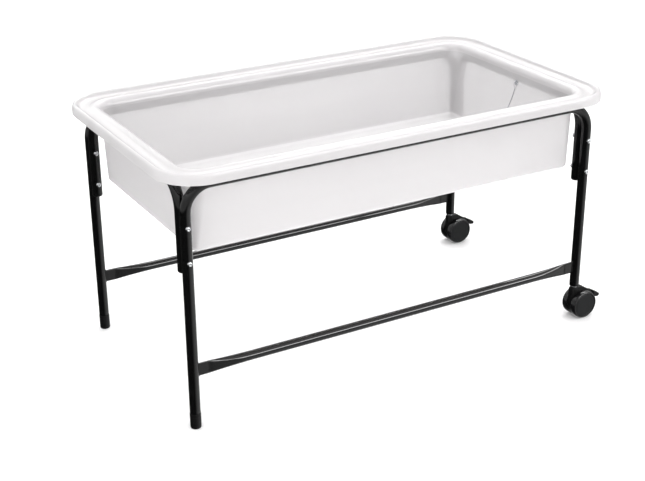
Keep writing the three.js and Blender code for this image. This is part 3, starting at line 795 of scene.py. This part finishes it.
def brake_pedal(at):
    """The lever's arm, and its wedge-shaped tongue with a rounded tip and grip bars."""
    x, y, _ = at
    px, pz = BRAKE_PIVOT
    arm = [
        (px - 5, pz - 3, 1.5), (px, pz - 5.5, 2), (px + 15, pz - 1, 1), (px + 15, pz + 4.2, 1),
        (px, pz + 12, 3), (px - 5, pz + 6, 2),
    ]
    loop = [(ax + x, az) for ax, az in rounded_loop(arm, 5)]
    parts = [plate(loop, -4.1, 4.1, 0.6, (0, y, 0))]
    root, tip = 58, 84.5
    top = smooth_line([(root, 65.8), (66, 60.4), (75, 55.4), (82.6, 51.4), (tip, 49.2)], 6)
    sole = smooth_line([
        (root, 60.4), (60.2, 54.6), (63, 49.6), (68, 45.4), (75, 44.8), (82.6, 44.8), (tip, 46.4),
    ], 6)
    neck_half, full_half, least_half = 6, 11, 2.5
    shoulder, tip_start, tip_run = 0.16, 0.66, 0.365
    rings = []
    steps = 34
    for i in range(steps + 1):
        t = i / steps
        along = root + (tip - root) * t
        swell = math.sin(math.pi / 2 * min(1, t / shoulder))
        half = neck_half + (full_half - neck_half) * swell
        if t > tip_start:
            half = full_half * math.sqrt(max(0, 1 - ((t - tip_start) / tip_run) ** 2.6))
        half = max(half, least_half)
        low, high = level(sole, along), level(top, along)
        section = [(-half, low, 1.2), (half, low, 1.2), (half, high, 1.2), (-half, high, 1.2)]
        bar = 0.4 * max(0, math.sin(2 * math.pi * 6 * t)) if 0.3 < t < 0.88 else 0
        ring = []
        for a, b in rounded_loop(section, 4):
            lift = bar if b > high - 0.4 and abs(a) < half * 0.85 else 0
            ring.append((x + along, y + a, b + lift))
        rings.append(ring)
    parts.append(skin(rings))
    return parts


def wheel_tyre(centre, out):
    """The tread ring: flat across, with a tight inner edge and a large glossy outer round."""
    profile = rounded([
        (32.3, 9), (35.6, 9, 0.8), (37.1, 10.2, 1), (WHEEL_R, 12.5, 1), (WHEEL_R, 20.6, 2.5),
        (36.4, 24.6, 2.2), (34.4, 25.8, 1), (32.7, 25.5, 0.4), (32.3, 24.4),
    ], 5)
    turned = [(r, out * h) for r, h in profile]
    return lathe(turned, centre, "y", 128, closed=True)


def wheel_hub(centre, out):
    """A flat face with a thin groove near its edge, and the hollow, ribbed inner side."""
    profile = rounded([
        (0, 21), (4.3, 21), (4.3, 9.2, 0.3), (9, 9.2, 0.8), (9, 12.5, 0.8), (27, 12.5, 1),
        (28, 9.6, 0.4), (32, 9.6, 0.4), (32.05, 24.5, 0.4), (31.4, 25.3, 0.3), (30.3, 25.3, 0.3),
        (29.7, 24.7, 0.3), (29, 24.7, 0.2), (28.4, 25.15, 0.3), (26, 25.25, 1), (0, 25.0),
    ], 4)
    parts = [lathe([(r, out * h) for r, h in profile], centre, "y", 128)]
    ribs = 8
    for i in range(ribs):
        turn = 2 * math.pi * i / ribs
        ax, az = math.cos(turn), math.sin(turn)
        faces = []
        for h in (9.9, 13):
            web = [(8.4, -0.8), (27.6, -0.8), (27.6, 0.8), (8.4, 0.8)]
            face = [(ax * r - az * w, az * r + ax * w) for r, w in web]
            faces.append(on_axis(face, out * h, centre, "y"))
        parts.append(skin(faces))
    return parts


def round_bar(radius, half, edge, centre, sides):
    """A pin along Y with its edges rounded."""
    profile = rounded([(0, -half), (radius, -half, edge), (radius, half, edge), (0, half)])
    return lathe(profile, centre, "y", sides)


def caster_socket(at):
    """The flanged sleeve that is pressed into the leg."""
    bore, foot, flange = 5.8, CASTER_LEG_Z - GAP - 2.6, CASTER_LEG_Z - GAP
    top = CASTER_LEG_Z + 46
    profile = rounded([
        (bore, foot), (12.1, foot, 0.5), (12.3, flange, 0.2), (CAP_PLUG_R, flange),
        (CAP_PLUG_R, top, 1), (bore, top), (bore, foot),
    ])
    return lathe(profile[:-1], at, sides=64, closed=True)


def caster_stem(at):
    """The swivel's stem, with its collar and the groove that snaps into the socket."""
    stem_r, groove_r, foot, top = 5.5, 4.9, 68.0, 132
    profile = rounded([
        (0, foot), (stem_r, foot, 0.5), (stem_r, 87.2), (8.2, 87.2, 0.4), (8.8, 88.3, 0.6),
        (8.8, 89.9, 0.6), (8.0, 91.3, 0.3), (stem_r, 91.3), (stem_r, 122, 0.4),
        (groove_r, 123, 0.3), (groove_r, 125, 0.3), (stem_r, 126, 0.4), (stem_r, top, 1.4),
        (0, top),
    ])
    return lathe(profile, at)


def make_caster(depth, side):
    name = f"{depth}_caster"
    at = (LEG_X, side * LEG_Y, 0)
    hub_at = (LEG_X + TRAIL, side * LEG_Y, WHEEL_R)
    pivot = (LEG_X + BRAKE_PIVOT[0], side * LEG_Y, BRAKE_PIVOT[1])
    axle = round_bar(4, 20.7, 0.5, hub_at, 40)
    pin = round_bar(1.5, 8.9, 0.5, pivot, 24)
    brake = f"{depth}_brake"
    for new_name, parts, material, body, slot, node, *sharp in (
        ("flanged_socket", [caster_socket(at)], BLACK, "stand", "black_plastic", "socket"),
        ("turned_stem", [caster_stem(at)], ZINC, name, "zinc", "stem"),
        ("hood", caster_housing(at), BLACK, name, "black_plastic", "housing", 30),
        ("turned_axle", [axle], ZINC, name, "zinc", "axle"),
        ("hinge_pin", [pin], ZINC, name, "zinc", "brake_pin"),
        ("foot_lever", brake_pedal(at), BLACK, brake, "black_plastic", "brake_pedal", 40),
    ):
        add_piece(f"{name}_{new_name}", parts, material, body, slot, [f"{name}_{node}"], *sharp)
    for part, out in (("outer", side), ("inner", -side)):
        body = f"{depth}_{part}_wheel"
        tyre, hub = [wheel_tyre(hub_at, out)], wheel_hub(hub_at, out)
        nodes = f"{name}_{part}_tyre", f"{name}_{part}_hub"
        add_piece(f"{body}_tread", tyre, TREAD, body, "wheel_plastic", nodes[:1], 50)
        add_piece(f"{body}_face", hub, WHEEL_FACE, body, "wheel_plastic", nodes[1:], 30)


for depth, side in DEPTHS:
    make_caster(depth, side)

# ---- Tray ----------------------------------------------------------------------------

WALL_TOP = (-13.4, 592.0)
WALL_FOOT = (-26.5, 430.0)
FILLET = 14.0
FOOT_CORNER_R = 16.0
SKIRT_Z = 602.0
CORNER_STEPS = 18
LONG_STEPS = 28
SHORT_STEPS = 14
DRAIN_HOLE_R = 16
RIM_TOP = [
    (-14.6, 607.5), (-11.2, 614.6), (-6.2, 618.4), (0, 619.6), (6, 618.4), (13, 616.4),
    (25, 615.6), (33, 618), (38, 623.6), (42, LIP_Z), (45.6, 625.4), (48.2, 621.8),
    (RIM_OUT - 0.2, 612), (RIM_OUT, SKIRT_Z),
]
RIM_UNDER = [
    (RIM_OUT - 2.6, SKIRT_Z), (RIM_OUT - 2.8, 612), (45.4, 620.6), (42, 622.6), (39.6, 620.4),
    (35, 615.2), (25, 612.6), (13, 613.2), (6, 615.2), (0, 616.4), (-5, 615.2), (-8.8, 612.4),
    (-11.4, 606.6),
]


def rim_corner(offset):
    """The rim's corners widen with its offset."""
    return 60 + 0.78 * offset


def tray_ring(offset, z, radius=None):
    """A rounded rectangle round the tray at one height, offset outwards from the legs' axes."""
    radius = radius or rim_corner(offset)
    far_x = LEG_X + offset - radius
    far_y = LEG_Y + offset - radius
    ring = []
    for start, cx, cy, side, steps in (
        (0, far_x, far_y, (-2 * far_x, 0), LONG_STEPS),
        (90, -far_x, far_y, (0, -2 * far_y), SHORT_STEPS),
        (180, -far_x, -far_y, (2 * far_x, 0), LONG_STEPS),
        (270, far_x, -far_y, (0, 2 * far_y), SHORT_STEPS),
    ):
        corner = []
        for i in range(CORNER_STEPS + 1):
            turn = math.radians(start + 90 * i / CORNER_STEPS)
            corner.append(Vector((cx + radius * math.cos(turn), cy + radius * math.sin(turn))))
        ring += corner
        ring += [corner[-1] + Vector(side) * i / steps for i in range(1, steps)]
    return [(p.x, p.y, z) for p in ring]


def drain_ring(ring, radius, z):
    """A circle round the drain with one point in the direction of each point of a ring."""
    points = []
    for x, y, _ in ring:
        away = Vector((x - DRAIN_X, y)).normalized() * radius
        points.append((DRAIN_X + away.x, away.y, z))
    return points


def fillet_line(radius, floor_z, foot_offset, foot_corner):
    """The quarter round between floor and wall, from the floor up, with its corners' radius."""
    line = []
    steps = 10
    for i in range(steps + 1):
        turn = math.pi / 2 * i / steps
        offset = foot_offset - radius + radius * math.sin(turn)
        corner = foot_corner - (foot_offset - offset)
        line.append((offset, floor_z + radius - radius * math.cos(turn), corner))
    return line


def wall_line(foot, top, steps=10):
    return [tuple(Vector(foot).lerp(Vector(top), i / steps)) for i in range(1, steps + 1)]


def rim_rib(x, y, way):
    """A web under the rim that carries the tray on the rail. It runs outwards along the way."""
    rest = RAIL_Z + TUBE_R + GAP
    outline = [
        (-10.4, rest, 1), (46.6, rest + 4, 1), (46.4, 620), (41.6, 623.6), (38.4, 620.4),
        (34, 615.6), (25, 613.4), (13, 614), (0, 617), (-5, 616), (-9.6, 612.6), (-11.9, 606.4),
    ]
    loop = rounded_loop(outline, 3)
    way_x, way_y = way
    rings = []
    for across in (-1.5, 1.5):
        rib_x, rib_y = x + across * abs(way_y), y + across * abs(way_x)
        rings.append([(rib_x + out * way_x, rib_y + out * way_y, z) for out, z in loop])
    return skin(rings)


def make_tray():
    foot = WALL_FOOT[0]
    under = fillet_line(FILLET, FLOOR_Z, foot, FOOT_CORNER_R)
    inside = fillet_line(FILLET - WALL, FLOOR_Z + WALL, foot - WALL, FOOT_CORNER_R - WALL)
    inner_top = (WALL_TOP[0] - WALL, WALL_TOP[1])
    outer_wall = wall_line(under[-1], (*WALL_TOP, rim_corner(WALL_TOP[0])))
    inner_wall = wall_line(inside[-1], (*inner_top, rim_corner(inner_top[0])))
    rim_under = smooth_line([WALL_TOP, *reversed(RIM_UNDER)], 4)[1:]
    rim_top = smooth_line([*reversed(RIM_TOP), inner_top], 4)[:-1]
    hem = [(RIM_OUT - back, SKIRT_Z - drop) for back, drop in ((2.2, 0.6), (1.3, 0.9), (0.4, 0.6))]
    section = [*under, *outer_wall, *rim_under, *hem, *rim_top]
    section += [*reversed(inner_wall), *reversed(inside)]
    rings = [tray_ring(*station) for station in section]
    rings.insert(0, drain_ring(rings[0], DRAIN_HOLE_R, FLOOR_Z))
    rings.append(drain_ring(rings[-1], DRAIN_HOLE_R, FLOOR_Z + WALL))
    settled = [[settle(point) for point in ring] for ring in rings]
    parts = [skin(settled, closed=True)]
    for x in (-400, -200, 0, 200, 400):
        parts += [rim_rib(x, side * LEG_Y, (0, side)) for side in (1, -1)]
    for y in (-140, 0, 140):
        parts += [rim_rib(side * LEG_X, y, (side, 0)) for side in (1, -1)]
    # The floor and the foot of its fillet take the lighter copy of the sheet, which is painted
    # light on the floor.
    bands = [(FLOOR_Z + FILLET / 2, MILKY), (SKIRT_Z - 2, MILKY_RIM)]
    add_piece("moulded_tray", parts, MILKY_PAINTED_LIGHT_FLOOR, "tray", "milky_plastic", ["tray"], 50, bands)


def settle(point):
    """The slight unevenness that a large thin moulding has after it cools."""
    x, y, z = point
    most, wave, fade = 0.7, 260, 70
    share = min(max((z - FLOOR_Z - FILLET) / fade, 0), 1)
    drift = noise.noise_vector(Vector((x, y, z)) / wave) * most * share
    return (x + drift.x, y + drift.y, z + 0.4 * drift.z)


def make_drain():
    """The threaded outlet through the tray's floor, and the lock nut under it."""
    top = FLOOR_Z + WALL + GAP
    bore, pipe, flange = 12, 15.4, 22
    outlet = rounded([
        (bore, DRAIN_END_Z), (15, DRAIN_END_Z, 0.6), (pipe, DRAIN_END_Z + 6, 0.3), (pipe, top),
        (flange, top, 0.2), (flange, top + 1.4, 0.6), (20, top + 2.4, 0.8), (13.2, top + 2.4, 0.6),
        (bore, top + 1, 0.6), (bore, DRAIN_END_Z),
    ])
    centre = (DRAIN_X, 0, 0)
    parts = [lathe(outlet[:-1], centre, sides=96, closed=True)]
    for i in range(7):
        z = DRAIN_END_Z + 2 + 1.6 * i
        thread = [(15.2, z), (15.75, z + 0.4), (15.75, z + 0.7), (15.2, z + 1.1)]
        parts.append(lathe(thread, centre, sides=96, closed=True))
    add_piece("threaded_outlet", parts, MILKY_BLOCK, "tray", "milky_plastic", ["drain_outlet"], 40)
    nut_foot = FLOOR_Z - GAP - 8
    rings = []
    for r, z in ((19.0, 0), (19.9, 0.9), (19.9, 7.1), (19.0, 8)):
        rings.append(on_axis(hexagon(r, 96), nut_foot + z, centre, "z"))
    for r, z in ((16.9, 8), (16.3, 7.4), (16.3, 0.6), (16.9, 0)):
        rings.append(on_axis(circle(r, 96), nut_foot + z, centre, "z"))
    lock = skin(rings, closed=True)
    add_piece("hex_lock_nut", [lock], MILKY_BLOCK, "tray", "milky_plastic", ["drain_lock_nut"], 30)


def make_plug():
    """A ribbed bung with a flange, and a fin on top with an eye for the cord."""
    seat = FLOOR_Z + WALL + 3
    foot = FLOOR_Z - 8
    profile = [(0, foot), (10.2, foot, 0.5), (11.3, foot + 2, 0.6)]
    for i in range(3):
        rib = foot + 3 + 3.2 * i
        profile += [(11.0, rib, 0.3), (11.6, rib + 0.9, 0.4), (11.0, rib + 1.8, 0.3)]
    profile += [
        (11.0, seat, 0.3), (15.4, seat, 0.5), (15.4, seat + 2, 0.8), (13, seat + 3.2, 1),
        (5.6, seat + 4.4, 1.5), (4.7, seat + 9, 0.8), (3.6, seat + 10, 0.8), (0, seat + 10),
    ]
    centre = (DRAIN_X, 0, 0)
    parts = [lathe(rounded(profile), centre, sides=80)]
    eye_z = PLUG_TOP_Z - 4.2
    loop = []
    hole = []
    for i in range(48):
        turn = 2 * math.pi * i / 48
        c, s = math.cos(turn), math.sin(turn)
        loop.append((DRAIN_X + 5 * c, eye_z + (4.2 if s > 0 else 7.4) * s))
        hole.append((DRAIN_X + 2.3 * c, eye_z + 2.3 * s))
    faces = []
    for outline, y in ((loop, -1.7), (hole, -1.7), (hole, 1.7), (loop, 1.7)):
        faces.append(on_axis(outline, y, (0, 0, 0), "y"))
    parts.append(skin(faces, closed=True))
    add_piece("ribbed_plug", parts, RUBBER, "plug", "grey_rubber", ["drain_plug"], 40)


# Unless it is given a seed, this noise differs from run to run.
noise.seed_set(1)
make_tray()
make_drain()
make_plug()

# ---- Floor and light -----------------------------------------------------------------

SKY_STRENGTH = 1.32


def make_floor():
    half = 20
    corners = [(-half, -half, 0), (half, -half, 0), (half, half, 0), (-half, half, 0)]
    mesh = bpy.data.meshes.new("floor")
    mesh.from_pydata(corners, [], [(0, 1, 2, 3)])
    mesh.materials.append(pale_floor())
    floor = bpy.data.objects.new("floor", mesh)
    SCENE.collection.objects.link(floor)
    floor.visible_glossy = False


def area_light(name, place, target, size, power, lights=True, mirrored=True):
    """A soft box. One that only lights isn't mirrored, and one that only glints lights nothing."""
    light = bpy.data.lights.new(name, "AREA")
    light.shape = "RECTANGLE"
    light.size, light.size_y = size
    light.energy = power
    lamp = bpy.data.objects.new(name, light)
    lamp.location = place
    lamp.rotation_euler = (Vector(target) - Vector(place)).to_track_quat("-Z", "Y").to_euler()
    lamp.visible_diffuse = lights
    lamp.visible_glossy = mirrored
    SCENE.collection.objects.link(lamp)


def make_world():
    """A white studio: bright overhead and dimmer round the horizon. Below it, where only
    reflections look, it is dark to the left and bright to the right."""
    world = bpy.data.worlds.new("studio")
    world.use_nodes = True
    SCENE.world = world
    tree = world.node_tree
    place = tree.nodes.new("ShaderNodeTexCoord")
    split = tree.nodes.new("ShaderNodeSeparateXYZ")
    tree.links.new(place.outputs["Generated"], split.inputs["Vector"])
    upper = color_ramp(tree, split.outputs["Z"], (0.25, (0.5, 0.5, 0.5)), (0.7, (1, 1, 1)))
    lower = spread(tree, split.outputs["X"], (0.02, 0.75), (-0.25, 0.6), "SMOOTHSTEP")
    above = spread(tree, split.outputs["Z"], (0, 1), (-0.25, -0.12), "SMOOTHSTEP")
    mix = tree.nodes.new("ShaderNodeMix")
    mix.data_type = "RGBA"
    tree.links.new(above, mix.inputs["Factor"])
    tree.links.new(lower, mix.inputs[6])
    tree.links.new(upper, mix.inputs[7])
    sky = tree.nodes["Background"]
    tree.links.new(mix.outputs[2], sky.inputs["Color"])
    sky.inputs["Strength"].default_value = SKY_STRENGTH


make_floor()
make_world()
area_light("front_strip", (1.7, -3.2, 1.35), (0, -0.3, 0.2), (3.4, 0.7), 26)
area_light("overhead_strip", (1.9, 1.7, 3.0), (0, -0.3, 0.2), (3.4, 0.5), 40)
area_light("back_strip", (0.9, 3.6, 2.3), (0, 0, 0.5), (5.0, 0.5), 26)
area_light("left_fill", (-3.4, -1.8, 1.2), (-0.5, 0, 0.5), (1.6, 1.6), 28, mirrored=False)
area_light("front_fill", (-1.8, -3.5, 0.9), (-0.5, 0, 0.5), (2.4, 1.6), 16, mirrored=False)
area_light("tray_fill", (0, -0.7, 2.6), (0, 0, 0.5), (2.4, 1.6), 8, mirrored=False)
area_light("front_glint", (1.7, -3.25, 1.35), (0, -0.3, 0.2), (3.4, 0.9), 105, lights=False)
area_light("overhead_glint", (1.9, 1.7, 3.05), (0, -0.3, 0.2), (3.4, 0.5), 25, lights=False)
SCENE.view_settings.view_transform = "Standard"
